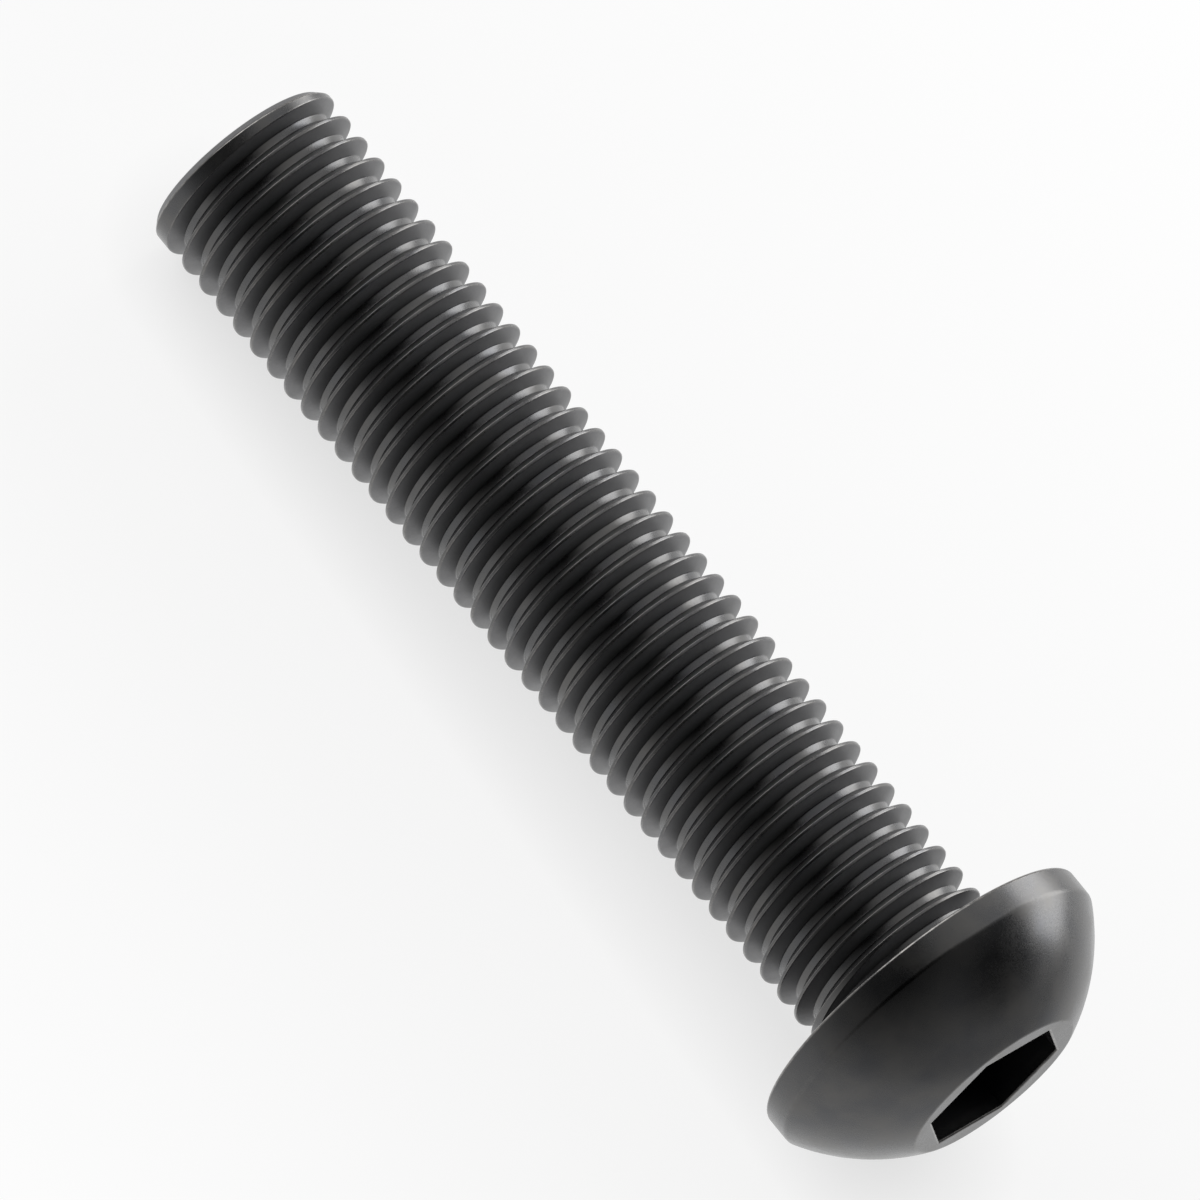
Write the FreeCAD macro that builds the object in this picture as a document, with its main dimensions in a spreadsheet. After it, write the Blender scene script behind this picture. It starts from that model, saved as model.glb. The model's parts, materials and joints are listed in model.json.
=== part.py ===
import FreeCAD, Part
import Sketcher

import math
import os

from FreeCAD import Placement, Rotation, Vector

# Button head socket screw, M12 x 1.5 x 60, made in one piece by cold forging.
# The body is modelled round its own Z axis, with the bearing face of the head in the plane Z = 0,
# the head above it and the shank below. Its Placement then lays it down as it comes to rest:
# on the rim of the head and on the far end of the shank, with the head towards +X.
# The shank is the thread's envelope, at the major diameter. Lengths are millimetres.

SIZES = (
    ("thread_dia", 12.0, "major diameter of the thread, and of the shank that carries it"),
    ("shank_length", 60.0, "from the bearing face to the end of the shank"),
    ("end_chamfer", 0.4, "chamfer at the end of the thread, at 45 degrees"),
    ("head_dia", 21.0, "diameter of the head"),
    ("head_height", 6.6, "from the bearing face to the flat on top of the head"),
    ("rim_height", 1.65, "straight band round the head, below the dome"),
    ("flat_dia", 10.8, "flat on top of the dome, round the socket"),
    ("rim_round", 0.2, "rounding where the rim meets the bearing face"),
    ("neck_fillet", 0.6, "fillet between the shank and the bearing face"),
    ("key_size", 8.0, "hexagon key that drives the screw, across its flats"),
    ("key_play", 0.06, "how much wider the socket is than the key, across the flats"),
    ("key_depth", 4.2, "how far the key goes in, along the flats of the socket"),
    ("floor_ledge", 0.5, "level edge of the socket's floor, measured in from the flats"),
    ("floor_dip", 0.6, "depth of the cone that the punch leaves in the floor"),
    ("key_turn", 30.0, "degrees that a corner of the socket is turned from straight down: 30 lays a flat level"),
)

NODE = "button_head_screw"


def make_sheet(doc):
    """The driving sizes, one to a row: what it is, and its value under an alias."""
    sheet = doc.addObject("Spreadsheet::Sheet", "Sizes")
    for row, (alias, value, note) in enumerate(SIZES, start=1):
        sheet.set(f"A{row}", note)
        sheet.set(f"B{row}", str(value))
        sheet.setAlias(f"B{row}", alias)
    doc.recompute()
    return sheet


def plane_of(body, role):
    """One of the body's own origin planes."""
    return next(f for f in body.Origin.OriginFeatures if f.Role == role)


def new_sketch(body, name, role):
    sketch = body.newObject("Sketcher::SketchObject", name)
    sketch.AttachmentSupport = [(plane_of(body, role), "")]
    sketch.MapMode = "FlatFace"
    return sketch


def distance(sketch, kind, first, second, formula):
    """A level (DistanceX) or upright (DistanceY) dimension between two points, bound to the sheet.

    A point is its edge's number and its end's. None is the sketch's own origin.
    """
    first = first or (-1, 1)
    second = second or (-1, 1)
    start = sketch.getPoint(*first)
    end = sketch.getPoint(*second)
    drawn = end.x - start.x if kind == "DistanceX" else end.y - start.y
    index = sketch.addConstraint(Sketcher.Constraint(kind, *first, *second, drawn))
    sketch.setExpression(f"Constraints[{index}]", formula)


def join_in_a_loop(sketch, edges):
    """The end of each edge is the start of the next."""
    for edge, following in zip(edges, edges[1:] + edges[:1]):
        sketch.addConstraint(Sketcher.Constraint("Coincident", edge, 2, following, 1))


def put_on_axis(sketch, *points):
    """Keeps points on the sketch's upright axis, which Sketcher numbers -2."""
    for point in points:
        sketch.addConstraint(Sketcher.Constraint("PointOnObject", *point, -2))


def make_blank(body, sheet):
    """The forged blank: half of its section, turned about the screw's axis."""
    head_r = sheet.head_dia / 2
    flat_r = sheet.flat_dia / 2
    shank_r = sheet.thread_dia / 2
    top = sheet.head_height
    rim = sheet.rim_height
    end = -sheet.shank_length

    # the dome is part of a sphere through the rim's upper edge and the flat's edge
    centre = (flat_r**2 + top**2 - head_r**2 - rim**2) / (2 * (top - rim))
    radius = math.hypot(head_r, rim - centre)
    from_rim = math.atan2(rim - centre, head_r)
    to_flat = math.atan2(top - centre, flat_r)
    sphere = Part.Circle(Vector(0, centre, 0), Vector(0, 0, 1), radius)

    sketch = new_sketch(body, "BlankSection", "XZ_Plane")
    axis = sketch.addGeometry(Part.LineSegment(Vector(0, top, 0), Vector(0, end, 0)))
    end_face = sketch.addGeometry(Part.LineSegment(Vector(0, end, 0), Vector(shank_r, end, 0)))
    shank = sketch.addGeometry(Part.LineSegment(Vector(shank_r, end, 0), Vector(shank_r, 0, 0)))
    bearing = sketch.addGeometry(Part.LineSegment(Vector(shank_r, 0, 0), Vector(head_r, 0, 0)))
    band = sketch.addGeometry(Part.LineSegment(Vector(head_r, 0, 0), Vector(head_r, rim, 0)))
    dome = sketch.addGeometry(Part.ArcOfCircle(sphere, from_rim, to_flat))
    flat = sketch.addGeometry(Part.LineSegment(Vector(flat_r, top, 0), Vector(0, top, 0)))

    join_in_a_loop(sketch, [axis, end_face, shank, bearing, band, dome, flat])
    for upright in (shank, band):
        sketch.addConstraint(Sketcher.Constraint("Vertical", upright))
    for level in (end_face, bearing, flat):
        sketch.addConstraint(Sketcher.Constraint("Horizontal", level))
    put_on_axis(sketch, (axis, 1), (axis, 2), (dome, 3))
    sketch.addConstraint(Sketcher.Constraint("PointOnObject", bearing, 1, -1))

    distance(sketch, "DistanceX", None, (shank, 1), "Sizes.thread_dia / 2")
    distance(sketch, "DistanceX", None, (band, 1), "Sizes.head_dia / 2")
    distance(sketch, "DistanceX", None, (flat, 1), "Sizes.flat_dia / 2")
    distance(sketch, "DistanceY", (axis, 2), None, "Sizes.shank_length")
    distance(sketch, "DistanceY", None, (flat, 1), "Sizes.head_height")
    distance(sketch, "DistanceY", (band, 1), (band, 2), "Sizes.rim_height")

    blank = body.newObject("PartDesign::Revolution", "Blank")
    blank.Profile = sketch
    blank.ReferenceAxis = (sketch, ["V_Axis"])
    blank.Angle = 360
    return blank


def make_socket(body, sheet):
    """The hexagon that the punch leaves in the top of the head."""
    across_corners = (sheet.key_size + sheet.key_play) / math.cos(math.radians(30))
    reach = across_corners / 2
    corners = [Rotation(Vector(0, 0, 1), 60 * i) * Vector(reach, 0, 0) for i in range(6)]

    sketch = new_sketch(body, "SocketSection", "XY_Plane")
    sketch.setExpression(".AttachmentOffset.Base.z", "Sizes.head_height")
    sides = [
        sketch.addGeometry(Part.LineSegment(corners[i], corners[(i + 1) % 6])) for i in range(6)
    ]
    round_corners = sketch.addGeometry(Part.Circle(Vector(), Vector(0, 0, 1), reach), True)
    join_in_a_loop(sketch, sides)
    sketch.addConstraint(Sketcher.Constraint("Coincident", round_corners, 3, -1, 1))
    for side in sides:
        sketch.addConstraint(Sketcher.Constraint("PointOnObject", side, 1, round_corners))
    for side in sides[1:]:
        sketch.addConstraint(Sketcher.Constraint("Equal", sides[0], side))
    sketch.addConstraint(Sketcher.Constraint("Horizontal", sides[1]))
    distance(sketch, "DistanceY", (sides[4], 1), (sides[1], 1), "Sizes.key_size + Sizes.key_play")

    socket = body.newObject("PartDesign::Pocket", "Socket")
    socket.Profile = sketch
    socket.setExpression("Length", "Sizes.key_depth")
    return socket


def make_socket_floor(body, sheet):
    """The shallow cone in the middle of the socket's floor."""
    floor = sheet.head_height - sheet.key_depth
    reach = (sheet.key_size + sheet.key_play) / 2 - sheet.floor_ledge
    lowest = floor - sheet.floor_dip

    sketch = new_sketch(body, "FloorSection", "XZ_Plane")
    axis = sketch.addGeometry(Part.LineSegment(Vector(0, floor, 0), Vector(0, lowest, 0)))
    slope = sketch.addGeometry(Part.LineSegment(Vector(0, lowest, 0), Vector(reach, floor, 0)))
    level = sketch.addGeometry(Part.LineSegment(Vector(reach, floor, 0), Vector(0, floor, 0)))
    join_in_a_loop(sketch, [axis, slope, level])
    sketch.addConstraint(Sketcher.Constraint("Horizontal", level))
    put_on_axis(sketch, (axis, 1), (axis, 2))
    distance(sketch, "DistanceY", None, (axis, 1), "Sizes.head_height - Sizes.key_depth")
    distance(sketch, "DistanceY", (axis, 2), (axis, 1), "Sizes.floor_dip")
    across = "(Sizes.key_size + Sizes.key_play) / 2 - Sizes.floor_ledge"
    distance(sketch, "DistanceX", None, (level, 1), across)

    dip = body.newObject("PartDesign::Groove", "SocketFloor")
    dip.Profile = sketch
    dip.ReferenceAxis = (sketch, ["V_Axis"])
    dip.Angle = 360
    return dip


def round_edge(shape, radius, height):
    """The name of the circular edge round the Z axis that has this radius and height."""
    for number, edge in enumerate(shape.Edges, start=1):
        circle = edge.Curve
        if not isinstance(circle, Part.Circle):
            continue
        on_axis = math.hypot(circle.Center.x, circle.Center.y) < 1e-6
        if on_axis and abs(circle.Radius - radius) < 1e-6 and abs(circle.Center.z - height) < 1e-6:
            return f"Edge{number}"
    raise ValueError(f"no round edge of radius {radius} at height {height}")


def dress_edge(body, kind, name, radius, height, prop, formula):
    """A fillet or chamfer on one round edge of the body as it stands."""
    base = body.Tip
    edge = body.newObject(kind, name)
    edge.Base = (base, [round_edge(base.Shape, radius, height)])
    edge.setExpression(prop, formula)
    FreeCAD.ActiveDocument.recompute()
    return edge


def resting_place(sheet):
    """The screw lying on a level floor, with the middle of its outline over the origin.

    It touches the floor with the rounding of the head's rim and with the lower edge of the last
    full turn of the thread, so its axis falls towards the end of the shank.
    """
    rim_r = sheet.head_dia / 2 - sheet.rim_round
    shank_r = sheet.thread_dia / 2
    full_length = sheet.shank_length - sheet.end_chamfer
    reach = full_length + sheet.rim_round
    rise = rim_r - shank_r
    lean = math.atan2(rise, reach) + math.asin(sheet.rim_round / math.hypot(reach, rise))

    laid = Rotation(Vector(0, 1, 0), 90 - math.degrees(lean))
    turned = Rotation(Vector(0, 0, 1), sheet.key_turn)
    head_way = Vector(math.cos(lean), 0, math.sin(lean))
    down_way = Vector(math.sin(lean), 0, -math.cos(lean))
    lowest = head_way * -full_length + down_way * shank_r
    return Placement(Vector(0, 0, -lowest.z), laid * turned)


def centre_over_origin(body):
    """Slides the laid screw along X so that its outline is centred on the origin."""
    box = body.Shape.optimalBoundingBox(False)
    body.Placement.Base.x -= (box.XMin + box.XMax) / 2


def make_screw(doc, sheet):
    body = doc.addObject("PartDesign::Body", "Screw")
    body.Label = NODE
    make_blank(body, sheet)
    doc.recompute()
    make_socket(body, sheet)
    doc.recompute()
    make_socket_floor(body, sheet)
    doc.recompute()

    shank_r = sheet.thread_dia / 2
    head_r = sheet.head_dia / 2
    dress_edge(
        body, "PartDesign::Chamfer", "EndChamfer", shank_r, -sheet.shank_length, "Size", "Sizes.end_chamfer"
    )
    dress_edge(body, "PartDesign::Fillet", "NeckFillet", shank_r, 0, "Radius", "Sizes.neck_fillet")
    dress_edge(body, "PartDesign::Fillet", "RimRound", head_r, 0, "Radius", "Sizes.rim_round")

    body.Placement = resting_place(sheet)
    doc.recompute()
    centre_over_origin(body)
    doc.recompute()
    return body


def check(doc, body):
    """Stops on a failed feature, or on a body that isn't one sound solid."""
    for thing in doc.Objects:
        if "Invalid" in thing.State or "Error" in thing.State:
            raise RuntimeError(f"{thing.Name} failed: {thing.State}")
    shape = body.Shape
    if shape.isNull() or not shape.isValid() or len(shape.Solids) != 1:
        raise RuntimeError(f"{body.Label} is not one valid solid")


def check_cut(before, after, name):
    """A pocket or groove that points the wrong way cuts nothing and shows no error."""
    if not after.Shape.Volume < before.Shape.Volume:
        raise RuntimeError(f"{name} removed nothing")


document = FreeCAD.newDocument("ButtonHeadScrew")
sizes = make_sheet(document)
screw = make_screw(document, sizes)
check(document, screw)
check_cut(document.Blank, document.Socket, "the socket")
check_cut(document.Socket, document.SocketFloor, "the socket's floor")

os.makedirs("parts", exist_ok=True)
screw.Shape.exportStep(f"parts/{screw.Label}.step")
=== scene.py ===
import json
import math
from collections import namedtuple

import bpy
import numpy as np
from mathutils import Matrix, Quaternion, Vector


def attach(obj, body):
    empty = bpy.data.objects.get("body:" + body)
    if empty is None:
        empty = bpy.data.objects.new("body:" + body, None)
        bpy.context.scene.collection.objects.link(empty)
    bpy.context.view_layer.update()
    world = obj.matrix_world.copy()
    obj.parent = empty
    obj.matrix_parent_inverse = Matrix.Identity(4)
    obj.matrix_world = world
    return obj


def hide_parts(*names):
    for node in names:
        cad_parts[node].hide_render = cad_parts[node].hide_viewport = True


# The looks of an M12 x 1.5 x 60 button head socket screw in black oxide steel, lying on a white surface.
# One mesh stands for the whole screw. It is drawn in millimetres round the screw's own axis, with the
# bearing face of the head in the plane 0, the head above it and the X axis falling to the floor,
# and is then laid down where the frame has the screw.

MM = 0.001
NODE = "button_head_screw"
SLOT = "black_oxide_steel"

# shank and thread
THREAD_R = 6.0
END = -60.0
END_CHAMFER = 0.4
PITCH = 1.5
THREAD_DEPTH = 0.89
CREST_WIDTH = 0.165
FLANK_ANGLE = 27.0

# the groove's centre line starts at this angle round the axis, and keeps this far from the thread's ends
RUN_IN_ANGLE = -15.0
END_GAP = 0.3

# over these shares of a turn the groove fades in and out, from this share of its full width
RUN_IN_TURNS = 0.4
RUN_OUT_TURNS = 0.3
FADED_WIDTH = 0.2

# head
NECK_FILLET = 0.6
HEAD_R = 10.5
RIM_HEIGHT = 1.65
RIM_ROUND = 0.2
TOP = 6.6
FLAT_R = 5.4

# socket
SOCKET_HALF = 4.03
SOCKET_CORNER_R = SOCKET_HALF / math.cos(math.radians(30))
SOCKET_DEPTH = 4.2
FLOOR_LEDGE = 0.5
FLOOR_DIP = 0.6
KEY_TURN = 30.0

# mesh: columns run along the axis, and there is one at each corner of the hexagon
COLUMNS = 108
DOME_STEPS = 28
ROUND_STEPS = 6
EDGE_STEPS = 3
EDGE_MARGIN = 0.03
ROW_MARGIN = 0.01
SHARP_ANGLE = 40.0

# the steel's colours, and how much of the bare one shows where it is rubbed most
COOL_OXIDE = (0.086, 0.087, 0.091, 1)
WARM_OXIDE = (0.114, 0.112, 0.109, 1)
# painted light: a paler colour for the thread's flanks, which lifts the shade in the grooves
FLANK_PAINTED_LIGHT = (0.172, 0.172, 0.175, 1)
# painted shade: a blacker colour for the inside of the socket, which darkens the recess
SOCKET_PAINTED_SHADE = (0.035, 0.035, 0.037, 1)
BARE_STEEL = (0.42, 0.40, 0.38, 1)
RUBBED_BARE = 0.45

# the steel's roughness: of the skin, from patch to patch, how far the grain changes it,
# what is added where the skin is matt, and what is taken off where it is rubbed
SKIN_ROUGHNESS = (0.24, 0.33)
GRAIN_ROUGHNESS = (-0.03, 0.03)
MATT_ROUGHNESS = 0.2
RUBBED_ROUGHNESS = 0.05

# the fine relief of the skin, in metres. One unit of the turning marks' noise is a radian
# round the axis, and this many units are a millimetre along it.
RELIEF = 0.000005
MARKS_ALONG = 6.0

# a noise texture lies mostly in this range, and a share goes from 0 to 1 or back
NOISE_RANGE = (0.3, 0.7)
RISING = (0.0, 1.0)
FALLING = (1.0, 0.0)

WHITE = (1, 1, 1, 1)
MATT_WHITE = (0.9, 0.9, 0.9, 1)

# the floor, in metres: its half width, and half the length of the line under the screw
# that distances on it are measured from
FLOOR_HALF = 1.5
LINE_HALF = 0.03

# how much of the floor's white is fixed round the screw, what is left of that under it,
# and how bright the floor is far off where the steel mirrors it
FIXED_WHITE = 0.87
FIXED_UNDER = 0.75
DIM_FLOOR = 0.45

# the distances, in metres, over which the first two of these fade out and the third sets in
WHITE_FADE = (0.015, 0.07)
UNDER_FADE = (0.001, 0.008)
DIM_FADE = (0.012, 0.08)

# the room at its brightest, the azimuth and elevation of its dark corner, the share of the light
# that is left there, and the cosines between which the dark side and the dark corner set in
ROOM_LIGHT = 0.85
DARK_CORNER = (122, 29)
CORNER_LIGHT = 0.1
SIDE_FADE = (-0.3, 0.93)
CORNER_FADE = (0.85, 0.985)
SOFTBOX_DISTANCE = 0.5

# the view. In the photograph's pixels: the point where the axis meets the bearing face, and the scale.
# In degrees: the slope of the axis in the picture, the angle between the axis and the way to the camera,
# and how far round the axis the camera stands, from straight above towards the viewer's side.
PICTURE = 1200
PIXELS_PER_MM = 18.52
BEARING_PIXEL = (918.5, 993.7)
AXIS_SLOPE = 50.81
AXIS_TO_VIEW = 75.7
ROUND_AXIS = 34.3
LENS = 1600.0
SENSOR = 36.0
CLIP_END = 100.0

# A corner is rounded over its reach along both its sides, worn says how far its oxide is rubbed off,
# from 0 to 1, and a hexed one follows the hexagon of the socket round the axis.
Corner = namedtuple("Corner", "radius height reach worn hexed", defaults=(0.0, 0.0, False))
Ring = namedtuple("Ring", "radius height worn hexed")


def smooth_step(x):
    """0 below 0, 1 above 1, and an even curve between."""
    x = np.clip(x, 0.0, 1.0)
    return x * x * (3.0 - 2.0 * x)


def soften(corners):
    """Rings along an outline of corners, with each corner rounded over its reach.

    A worn corner that is rounded also has a ring close by on each side, so that its wear stays narrow.
    """
    rings = []
    for i, corner in enumerate(corners):
        here = np.array((corner.radius, corner.height))
        if not corner.reach:
            rings.append(Ring(*here, corner.worn, corner.hexed))
            continue
        away = []
        for other in (corners[i - 1], corners[i + 1]):
            leg = np.array((other.radius, other.height)) - here
            away.append(leg / np.linalg.norm(leg))
        start = here + away[0] * corner.reach
        end = here + away[1] * corner.reach
        if corner.worn:
            rings.append(Ring(*(start + away[0] * EDGE_MARGIN), 0.0, corner.hexed))
        for q in np.linspace(0.0, 1.0, EDGE_STEPS + 1):
            point = (1 - q) ** 2 * start + 2 * q * (1 - q) * here + q**2 * end
            rings.append(Ring(*point, corner.worn, corner.hexed))
        if corner.worn:
            rings.append(Ring(*(end + away[1] * EDGE_MARGIN), 0.0, corner.hexed))
    return rings


def arc(radius, height, size, first, last, steps):
    """Corners along an arc round a point of the half section, its angles in degrees from level."""
    angles = np.radians(np.linspace(first, last, steps + 1))
    return [Corner(radius + size * np.cos(a), height + size * np.sin(a)) for a in angles]


def end_outline():
    """The end of the shank, from the axis out to where the thread begins."""
    corners = [
        Corner(0.0, END),
        Corner(THREAD_R - END_CHAMFER, END, reach=0.04, worn=1.0),
        Corner(THREAD_R, END + END_CHAMFER, reach=0.04, worn=1.0),
        Corner(THREAD_R, 0.0),
    ]
    # the last corner only gives the way on along the shank
    return soften(corners)[:-1]


def head_outline():
    """From the top of the thread round the head, over the dome and down into the socket to the axis."""
    corners = arc(THREAD_R + NECK_FILLET, -NECK_FILLET, NECK_FILLET, 180, 90, ROUND_STEPS)

    rim_round = arc(HEAD_R - RIM_ROUND, RIM_ROUND, RIM_ROUND, -90, 0, ROUND_STEPS)
    worn_round = [corner._replace(worn=1.0) for corner in rim_round[1:-1]]
    corners += [rim_round[0]] + worn_round + [rim_round[-1]]
    corners.append(Corner(HEAD_R, RIM_HEIGHT, reach=0.12, worn=0.1))

    # the dome is part of a sphere through the rim's upper edge and the flat's edge
    centre = (FLAT_R**2 + TOP**2 - HEAD_R**2 - RIM_HEIGHT**2) / (2 * (TOP - RIM_HEIGHT))
    dome_r = math.hypot(HEAD_R, RIM_HEIGHT - centre)
    from_rim = math.degrees(math.atan2(RIM_HEIGHT - centre, HEAD_R))
    to_flat = math.degrees(math.atan2(TOP - centre, FLAT_R))
    corners += arc(0.0, centre, dome_r, from_rim, to_flat, DOME_STEPS)[1:-1]
    corners.append(Corner(FLAT_R, TOP, reach=0.08, worn=0.2))

    floor = TOP - SOCKET_DEPTH
    cone_r = SOCKET_HALF - FLOOR_LEDGE
    corners.append(Corner(SOCKET_HALF, TOP, reach=0.12, worn=0.8, hexed=True))
    corners.append(Corner(SOCKET_HALF, floor, reach=0.15, hexed=True))
    corners += [Corner(cone_r * q, floor - FLOOR_DIP * (1 - q)) for q in (1.0, 0.75, 0.5, 0.25, 0.0)]
    return soften(corners)


def groove_outline():
    """The groove between two crests, upwards.

    Returns half the width of its flat root, and the distance along the axis, the radius and the wear
    of each row of points.
    """
    root_r = THREAD_R - THREAD_DEPTH
    half_mouth = PITCH / 2 - CREST_WIDTH / 2
    half_root = half_mouth - THREAD_DEPTH * math.tan(math.radians(FLANK_ANGLE))
    corners = [
        Corner(THREAD_R, -PITCH / 2),
        Corner(THREAD_R, -half_mouth, reach=0.03, worn=0.4),
        Corner(root_r, -half_root, reach=0.05),
        Corner(root_r, half_root, reach=0.05),
        Corner(THREAD_R, half_mouth, reach=0.03, worn=0.4),
        Corner(THREAD_R, PITCH / 2),
    ]
    rows = soften(corners)[1:-1]
    along = np.array([row.height for row in rows])
    radius = np.array([row.radius for row in rows])
    worn = np.array([row.worn for row in rows])
    return half_root, along, radius, worn


class ScrewMesh:
    """Gathers the points and faces of the screw, column by column and ring by ring."""

    def __init__(self):
        self.angles = math.radians(KEY_TURN) + 2 * math.pi * (np.arange(COLUMNS) / COLUMNS)
        self.points = []
        self.worn = []
        self.faces = []

    def add_point(self, radius, angle, height, worn):
        self.points.append((radius * math.cos(angle), radius * math.sin(angle), height))
        self.worn.append(worn)
        return len(self.points) - 1

    def add_ring(self, ring):
        """A point for each column. A hexed ring follows the hexagon, one on the axis is a single point."""
        if ring.radius == 0.0:
            return [self.add_point(0.0, 0.0, ring.height, ring.worn)] * COLUMNS
        side = math.pi / 3
        made = []
        for column, angle in enumerate(self.angles):
            radius = ring.radius
            if ring.hexed:
                radius /= math.cos((2 * math.pi * column / COLUMNS) % side - side / 2)
            made.append(self.add_point(radius, angle, ring.height, ring.worn))
        return made

    def add_face(self, corners):
        """A face from points in order, less those that fall together."""
        kept = [p for i, p in enumerate(corners) if p != corners[i - 1]]
        self.faces.append(kept)

    def add_fan(self, hub, rim):
        """Triangles from one point to each stretch of a run of points."""
        for p, q in zip(rim, rim[1:]):
            self.add_face([hub, p, q])

    def add_band(self, low, high):
        """Faces between two rings."""
        for i in range(COLUMNS):
            j = (i + 1) % COLUMNS
            self.add_face([low[i], low[j], high[j], high[i]])

    def add_rings(self, rings):
        """Joins a run of rings and returns the first and last."""
        made = [self.add_ring(ring) for ring in rings]
        for low, high in zip(made, made[1:]):
            self.add_band(low, high)
        return made[0], made[-1]

    def add_thread(self, low, high, low_height, high_height):
        """The helical groove between two plain rings of the shank.

        Each row of the groove rises by one pitch in a turn, so past the last column it goes on
        in the first column as the row a whole groove higher.
        """
        rows, columns = self.add_thread_points(low_height, high_height)
        for i in range(COLUMNS):
            j = (i + 1) % COLUMNS
            right_first, right = columns[j]
            if j == 0:
                right_first -= rows
            self.join_columns(columns[i], (right_first, right), (low[i], low[j]), (high[i], high[j]))

    def add_thread_points(self, low_height, high_height):
        """The points of each column, with the number of its first row, and how many rows a groove has."""
        half_root, along, radius, worn = groove_outline()
        first_centre = low_height + END_GAP
        last_centre = high_height - END_GAP

        # more grooves than fit: the rows beyond the two rings are left out
        grooves = np.arange(-2, int((high_height - low_height) / PITCH) + 3)
        columns = []
        for angle in self.angles:
            start = first_centre + PITCH * (angle - math.radians(RUN_IN_ANGLE)) / (2 * math.pi)
            centres = start + PITCH * grooves
            open_low = smooth_step((centres - first_centre) / (RUN_IN_TURNS * PITCH))
            open_high = smooth_step((last_centre - centres) / (RUN_OUT_TURNS * PITCH))
            opened = (open_low * open_high)[:, None]

            width = FADED_WIDTH + (1 - FADED_WIDTH) * opened
            past_root = np.maximum(np.abs(along) - half_root, 0.0) * width
            spread = np.minimum(np.abs(along), half_root) + past_root
            heights = (centres[:, None] + np.sign(along) * spread).ravel()
            radii = (THREAD_R - (THREAD_R - radius) * opened).ravel()

            # the wear is full as soon as the groove is open by a third
            wear = (worn * smooth_step(opened * 3)).ravel()

            between = (heights > low_height + ROW_MARGIN) & (heights < high_height - ROW_MARGIN)
            inside = np.flatnonzero(between)
            made = [self.add_point(radii[k], angle, heights[k], wear[k]) for k in inside]
            columns.append((inside[0], made))
        return len(along), columns

    def join_columns(self, left_column, right_column, low, high):
        """Faces between two neighbouring columns of the thread, from the ring below to the ring above.

        A row that only one of them has, at either end of the thread, is joined to the other by a fan.
        """
        left_first, left = left_column
        right_first, right = right_column
        first = max(left_first, right_first)
        last = min(left_first + len(left), right_first + len(right)) - 1
        left_part = left[first - left_first : last - left_first + 1]
        right_part = right[first - right_first : last - right_first + 1]

        self.add_face([low[0], low[1], right[0], left[0]])
        self.add_fan(left_part[0], right[: first - right_first + 1])
        self.add_fan(right_part[0], left[first - left_first :: -1])
        for k in range(last - first):
            self.add_face([left_part[k], right_part[k], right_part[k + 1], left_part[k + 1]])
        self.add_fan(left_part[-1], right[last - right_first :])
        self.add_fan(right_part[-1], left[last - left_first :][::-1])
        self.add_face([left[-1], right[-1], high[1], high[0]])


def build_screw(place):
    """The whole screw as one closed mesh, laid down by place."""
    screw = ScrewMesh()
    end_rings = end_outline()
    head_rings = head_outline()
    low = screw.add_rings(end_rings)[1]
    high = screw.add_rings(head_rings)[0]
    screw.add_thread(low, high, end_rings[-1].height, head_rings[0].height)

    own = np.array(screw.points)
    turn = np.array(place.to_3x3())
    laid = own * MM @ turn.T + np.array(place.translation)

    mesh = bpy.data.meshes.new("screw_body")
    mesh.from_pydata(laid.tolist(), [], screw.faces)
    mesh.attributes.new("own_place", "FLOAT_VECTOR", "POINT").data.foreach_set("vector", own.ravel())
    mesh.attributes.new("worn", "FLOAT", "POINT").data.foreach_set("value", screw.worn)
    mesh.shade_smooth()
    mesh.set_sharp_from_angle(angle=math.radians(SHARP_ANGLE))
    piece = bpy.data.objects.new("screw_body", mesh)
    bpy.context.scene.collection.objects.link(piece)
    normals = piece.modifiers.new("flat sides keep flat shading", "WEIGHTED_NORMAL")
    normals.keep_sharp = True
    return piece


def screw_place(record):
    """The screw's own axes in the row frame, as a matrix, found from the record's mounts."""
    mounts = {mount["name"]: mount for mount in record["mounts"]}
    up = Vector(mounts["hex_socket"]["axis"]).normalized()
    mouth = Vector(mounts["hex_socket"]["pos_m"])
    bearing = Vector(mounts["bearing_face"]["pos_m"])
    origin = mouth - up * (mouth - bearing).dot(up)
    down = Vector((0, 0, -1))
    down = (down - up * down.dot(up)).normalized()
    place = Matrix((down, up.cross(down), up)).transposed().to_4x4()
    place.translation = origin
    return place


def node(tree, kind, inputs=None, **settings):
    """A shader node. An input takes a number, a colour, or the output that feeds it."""
    made = tree.nodes.new(kind)
    for name, value in settings.items():
        setattr(made, name, value)
    for name, value in (inputs or {}).items():
        if isinstance(value, bpy.types.NodeSocket):
            tree.links.new(value, made.inputs[name])
        else:
            made.inputs[name].default_value = value
    return made


def math_node(tree, operation, *values):
    return node(tree, "ShaderNodeMath", dict(enumerate(values)), operation=operation).outputs[0]


def product(tree, first, *others):
    for value in others:
        first = math_node(tree, "MULTIPLY", first, value)
    return first


def rescale(tree, value, given, wanted):
    """A straight change from one range to another, held at its ends."""
    inputs = dict(enumerate((value, *given, *wanted)))
    return node(tree, "ShaderNodeMapRange", inputs).outputs[0]


def level_length(tree, x, y):
    """The length of a vector that lies level."""
    level = node(tree, "ShaderNodeCombineXYZ", {0: x, 1: y}).outputs[0]
    return node(tree, "ShaderNodeVectorMath", {0: level}, operation="LENGTH").outputs["Value"]


def alignment(tree, way, other):
    """The cosine of the angle between two directions."""
    return node(tree, "ShaderNodeVectorMath", {0: way, 1: other}, operation="DOT_PRODUCT").outputs["Value"]


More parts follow.
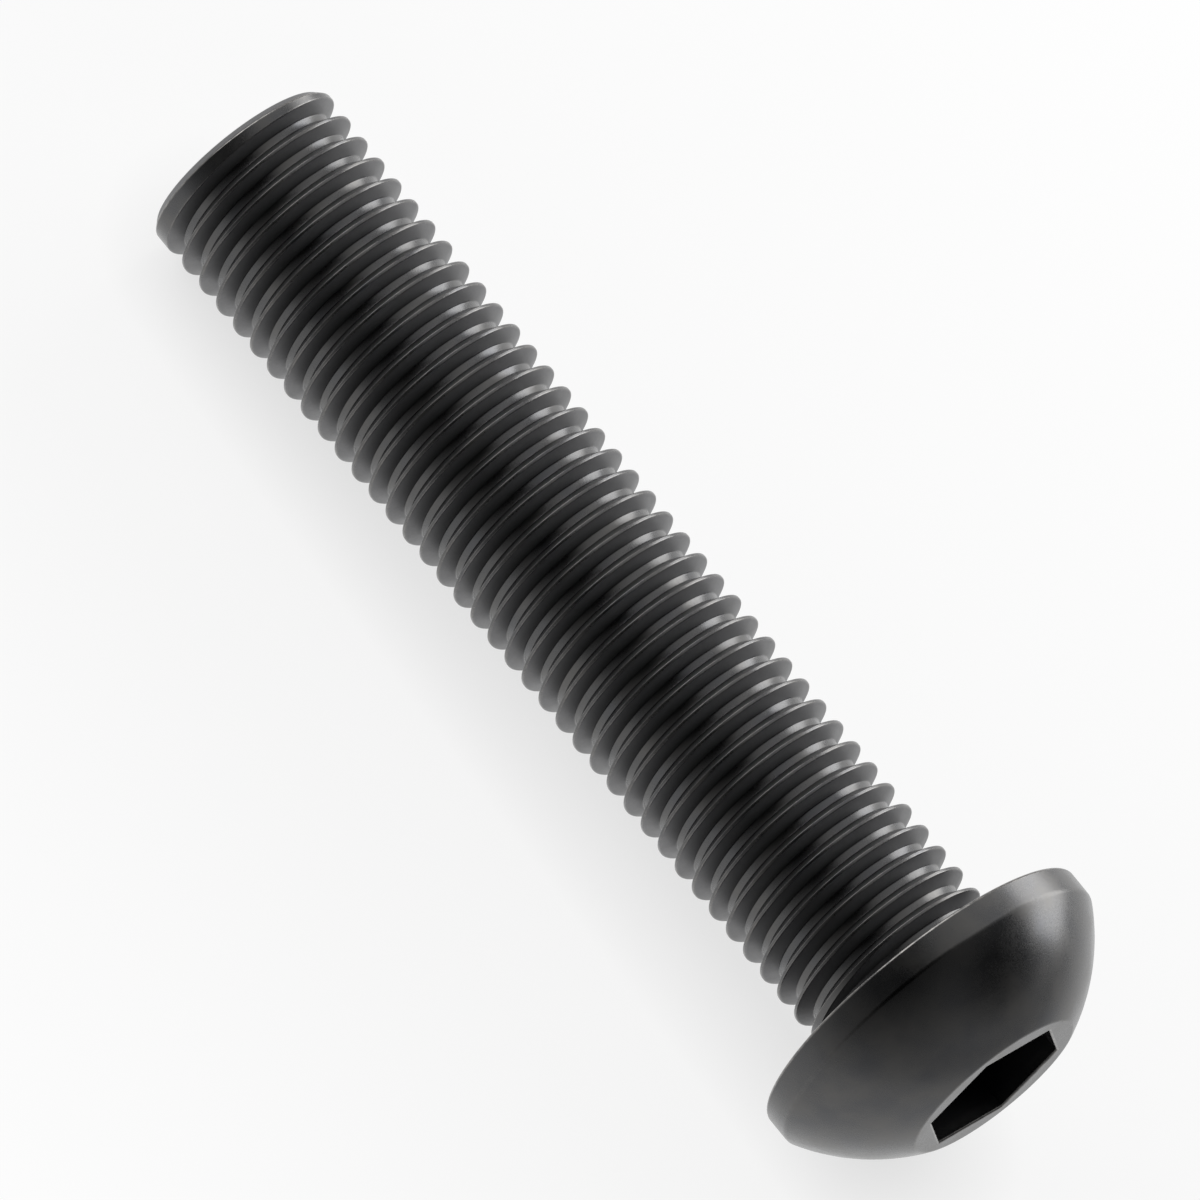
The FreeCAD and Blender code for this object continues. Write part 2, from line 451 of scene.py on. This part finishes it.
def mix_colours(tree, share, first, second):
    """Colour inputs of a Mix node are its 7th and 8th, and its colour output the 3rd."""
    inputs = {0: share, 6: first, 7: second}
    return node(tree, "ShaderNodeMix", inputs, data_type="RGBA").outputs[2]


def noise(tree, place, scale, detail=2.0, roughness=0.5):
    inputs = {"Vector": place, "Scale": scale, "Detail": detail, "Roughness": roughness}
    return node(tree, "ShaderNodeTexNoise", inputs).outputs["Fac"]


def new_material(name):
    material = bpy.data.materials.new(name)
    material.use_nodes = True
    material.node_tree.nodes.clear()
    return material, material.node_tree


def turning_marks(tree, place, height, radius):
    """Streaks that run round the axis: fine along it and across end faces, long round it."""
    parts = node(tree, "ShaderNodeSeparateXYZ", {0: place}).outputs
    level = node(tree, "ShaderNodeCombineXYZ", {0: parts[0], 1: parts[1]}).outputs[0]
    around = node(tree, "ShaderNodeVectorMath", {0: level}, operation="NORMALIZE").outputs[0]
    along = product(tree, math_node(tree, "ADD", height, radius), MARKS_ALONG)
    across = node(tree, "ShaderNodeCombineXYZ", {2: along}).outputs[0]
    ringed = node(tree, "ShaderNodeVectorMath", {0: around, 1: across}, operation="ADD").outputs[0]
    return noise(tree, ringed, scale=2.0, detail=3.0)


def flank_share(tree, height, radius):
    """1 on the flanks of the thread, 0 on its crests, its roots and the head."""
    root_r = THREAD_R - THREAD_DEPTH
    below_crest = rescale(tree, radius, (THREAD_R - 0.12, THREAD_R - 0.04), FALLING)
    above_root = rescale(tree, radius, (root_r + 0.03, root_r + 0.1), RISING)
    on_shank = rescale(tree, height, (-0.4, -0.2), FALLING)
    return product(tree, below_crest, above_root, on_shank)


def socket_share(tree, height, radius):
    """1 inside the socket and 0 outside it, with a soft change below its mouth."""
    inside = rescale(tree, radius, (SOCKET_CORNER_R + 0.03, SOCKET_CORNER_R + 0.13), FALLING)
    below_mouth = rescale(tree, height, (TOP - 0.8, TOP - 0.1), FALLING)
    above_shank = rescale(tree, height, (0.0, 1.0), RISING)
    return product(tree, inside, below_mouth, above_shank)


def black_oxide():
    """Black oxide on steel: an almost black satin skin, burnished to grey where edges rub.

    The flanks of the thread are matt, and their colour is paler: painted light that lifts the shade in the
    grooves. The socket is duller, and its colour blacker as painted shade of the deep recess.
    """
    material, tree = new_material(SLOT)
    place = node(tree, "ShaderNodeAttribute", attribute_name="own_place").outputs["Vector"]
    worn = node(tree, "ShaderNodeAttribute", attribute_name="worn").outputs["Fac"]
    parts = node(tree, "ShaderNodeSeparateXYZ", {0: place}).outputs
    height = parts[2]
    radius = level_length(tree, parts[0], parts[1])

    mottle = noise(tree, place, scale=0.45, detail=4.0)
    grain = noise(tree, place, scale=7.0, detail=3.0, roughness=0.6)
    marks = turning_marks(tree, place, height, radius)
    uneven = rescale(tree, noise(tree, place, scale=2.5, detail=3.0), (0.35, 0.65), (0.25, 1.0))
    rub = product(tree, worn, uneven)
    flank = flank_share(tree, height, radius)
    socket = socket_share(tree, height, radius)

    patches = rescale(tree, mottle, NOISE_RANGE, RISING)
    oxide = mix_colours(tree, patches, COOL_OXIDE, WARM_OXIDE)
    # painted light: the flanks take a paler colour against the shade of the grooves
    flank_lightened = mix_colours(tree, flank, oxide, FLANK_PAINTED_LIGHT)
    # painted shade: the inside of the socket takes a blacker colour, as the shade of a deep recess
    socket_shaded = mix_colours(tree, socket, flank_lightened, SOCKET_PAINTED_SHADE)
    skin = mix_colours(tree, product(tree, rub, RUBBED_BARE), socket_shaded, BARE_STEEL)

    grained = rescale(tree, grain, NOISE_RANGE, GRAIN_ROUGHNESS)
    mottled = rescale(tree, mottle, NOISE_RANGE, SKIN_ROUGHNESS)
    satin = math_node(tree, "ADD", grained, mottled)
    matt = product(tree, math_node(tree, "ADD", flank, socket), MATT_ROUGHNESS)
    dulled = math_node(tree, "ADD", satin, matt)
    roughness = math_node(tree, "SUBTRACT", dulled, product(tree, rub, RUBBED_ROUGHNESS))

    relief = math_node(tree, "ADD", product(tree, grain, 0.6), product(tree, marks, 0.4))
    bump = node(tree, "ShaderNodeBump", {"Height": relief, "Strength": 0.6, "Distance": RELIEF})
    inputs = {"Base Color": skin, "Metallic": 1.0, "Roughness": roughness, "Normal": bump.outputs[0]}
    shader = node(tree, "ShaderNodeBsdfPrincipled", inputs)
    node(tree, "ShaderNodeOutputMaterial", {"Surface": shader.outputs[0]})
    return material


def white_surface():
    """A matt white surface. Part of its white is fixed, and the rest takes the light and the shadow.

    Less of it is fixed under the screw, and far from the screw all of it. Mirrored in the steel it is
    white near the screw and greyer far off in front of it and past its ends: a painted pool of light, like a
    lit table in a dim room.
    """
    material, tree = new_material("white_surface")
    path = node(tree, "ShaderNodeLightPath").outputs
    mirrored = math_node(tree, "MAXIMUM", path["Is Glossy Ray"], path["Is Transmission Ray"])

    place = node(tree, "ShaderNodeTexCoord").outputs["Object"]
    spot = node(tree, "ShaderNodeSeparateXYZ", {0: place}).outputs
    from_middle = math_node(tree, "ABSOLUTE", spot[0])
    past_ends = math_node(tree, "MAXIMUM", math_node(tree, "SUBTRACT", from_middle, LINE_HALF), 0.0)
    in_front = math_node(tree, "MINIMUM", spot[1], 0.0)
    distance = level_length(tree, past_ends, spot[1])
    distance_in_front = level_length(tree, past_ends, in_front)

    # painted pool of light: as the steel mirrors it, the floor's glow dims with distance in front of the
    # screw and past its ends
    dimmed = rescale(tree, distance_in_front, DIM_FADE, (1.0, DIM_FLOOR))
    strength = math_node(tree, "MAXIMUM", path["Is Camera Ray"], dimmed)
    around = rescale(tree, distance, WHITE_FADE, (FIXED_WHITE, 1.0))
    under = rescale(tree, distance, UNDER_FADE, (FIXED_UNDER, 1.0))
    fixed = math_node(tree, "MAXIMUM", product(tree, path["Is Camera Ray"], around, under), mirrored)

    matt = node(tree, "ShaderNodeBsdfDiffuse", {"Color": MATT_WHITE}).outputs[0]
    glow = node(tree, "ShaderNodeEmission", {"Color": WHITE, "Strength": strength}).outputs[0]
    mixed = node(tree, "ShaderNodeMixShader", {0: fixed, 1: matt, 2: glow}).outputs[0]
    node(tree, "ShaderNodeOutputMaterial", {"Surface": mixed})
    return material


def lay_floor():
    corners = [(-1, -1), (1, -1), (1, 1), (-1, 1)]
    mesh = bpy.data.meshes.new("floor")
    mesh.from_pydata([(x * FLOOR_HALF, y * FLOOR_HALF, 0) for x, y in corners], [], [(0, 1, 2, 3)])
    floor = bpy.data.objects.new("floor", mesh)
    bpy.context.scene.collection.objects.link(floor)
    mesh.materials.append(white_surface())


def towards(azimuth, elevation):
    """A direction out from the screw. Azimuth 0 is towards the viewer's side, -Y, and 90 towards +X."""
    a = math.radians(azimuth)
    e = math.radians(elevation)
    return Vector((math.sin(a) * math.cos(e), -math.cos(a) * math.cos(e), math.sin(e)))


def add_softbox(name, azimuth, elevation, roll, wide, high, radiance):
    """A rectangular light that faces the screw, as bright as radiance from any side."""
    light = bpy.data.lights.new(name, "AREA")
    light.shape = "RECTANGLE"
    light.size = wide
    light.size_y = high
    light.energy = radiance * math.pi * wide * high
    softbox = bpy.data.objects.new(name, light)
    out = towards(azimuth, elevation)
    softbox.location = out * SOFTBOX_DISTANCE
    softbox.rotation_mode = "QUATERNION"
    softbox.rotation_quaternion = out.to_track_quat("Z", "Y") @ Quaternion((0, 0, 1), math.radians(roll))
    softbox.visible_camera = False
    bpy.context.scene.collection.objects.link(softbox)


def light_room(dark_way):
    """A pale room that darkens evenly towards one side, which is what gives the black steel its depth.

    It is darker still in one corner, which the dome mirrors as a soft dark patch.
    """
    world = bpy.data.worlds.new("room")
    world.use_nodes = True
    tree = world.node_tree
    tree.nodes.clear()
    way = node(tree, "ShaderNodeTexCoord").outputs["Generated"]
    fall = rescale(tree, alignment(tree, way, dark_way), SIDE_FADE, (ROOM_LIGHT, 0.0))
    corner = rescale(tree, alignment(tree, way, towards(*DARK_CORNER)), CORNER_FADE, (1.0, CORNER_LIGHT))
    camera_ray = node(tree, "ShaderNodeLightPath").outputs["Is Camera Ray"]
    strength = math_node(tree, "MAXIMUM", camera_ray, product(tree, fall, corner))
    background = node(tree, "ShaderNodeBackground", {"Color": WHITE, "Strength": strength})
    node(tree, "ShaderNodeOutputWorld", {"Surface": background.outputs[0]})
    bpy.context.scene.world = world


def view_axes(place):
    """The picture's right, its up, and the way to the camera, in the row frame."""
    down, side, up = (place.to_3x3().col[i] for i in range(3))
    lean = math.radians(AXIS_TO_VIEW)
    swing = math.radians(ROUND_AXIS)
    level = -down * math.cos(swing) - side * math.sin(swing)
    to_camera = up * math.cos(lean) + level * math.sin(lean)
    head_way = (up - to_camera * up.dot(to_camera)).normalized()
    side_way = to_camera.cross(head_way)
    slope = math.radians(AXIS_SLOPE)
    right = head_way * math.cos(slope) + side_way * math.sin(slope)
    above = side_way * math.cos(slope) - head_way * math.sin(slope)
    return right, above, to_camera


def place_camera(place):
    """A long lens, because the photograph's view is parallel. Its scale is true half way along the screw."""
    right, above, to_camera = view_axes(place)
    across = (PICTURE / 2 - BEARING_PIXEL[0]) / PIXELS_PER_MM
    upwards = (BEARING_PIXEL[1] - PICTURE / 2) / PIXELS_PER_MM
    half_way = (END + TOP) / 2 * math.cos(math.radians(AXIS_TO_VIEW))
    middle = place.translation + (right * across + above * upwards + to_camera * half_way) * MM
    distance = PICTURE / PIXELS_PER_MM * MM * LENS / SENSOR

    data = bpy.data.cameras.new("camera")
    data.lens = LENS
    data.sensor_width = SENSOR
    data.clip_end = CLIP_END
    camera = bpy.data.objects.new("camera", data)
    turned = Matrix((right, above, to_camera)).transposed().to_4x4()
    camera.matrix_world = Matrix.Translation(middle + to_camera * distance) @ turned
    bpy.context.scene.collection.objects.link(camera)
    bpy.context.scene.camera = camera
    return to_camera


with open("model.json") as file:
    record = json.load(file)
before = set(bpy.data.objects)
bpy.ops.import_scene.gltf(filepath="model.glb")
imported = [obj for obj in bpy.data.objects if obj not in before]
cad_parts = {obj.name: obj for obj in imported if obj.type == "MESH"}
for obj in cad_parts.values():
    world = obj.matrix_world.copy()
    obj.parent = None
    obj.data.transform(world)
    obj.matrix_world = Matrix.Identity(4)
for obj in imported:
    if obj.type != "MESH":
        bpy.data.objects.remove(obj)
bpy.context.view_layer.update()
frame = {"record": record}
place = screw_place(frame["record"])

screw = build_screw(place)
screw.data.materials.append(black_oxide())
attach(screw, "root")
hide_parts(NODE)

lay_floor()
to_camera = place_camera(place)
light_room(to_camera)
add_softbox("back_softbox", azimuth=174, elevation=17, roll=15, wide=0.54, high=0.29, radiance=3.7)
add_softbox("top_softbox", azimuth=217, elevation=69, roll=0, wide=0.45, high=0.45, radiance=0.4)
add_softbox("end_softbox", azimuth=270, elevation=30, roll=0, wide=0.45, high=0.35, radiance=2.2)
bpy.context.scene.view_settings.view_transform = "Standard"
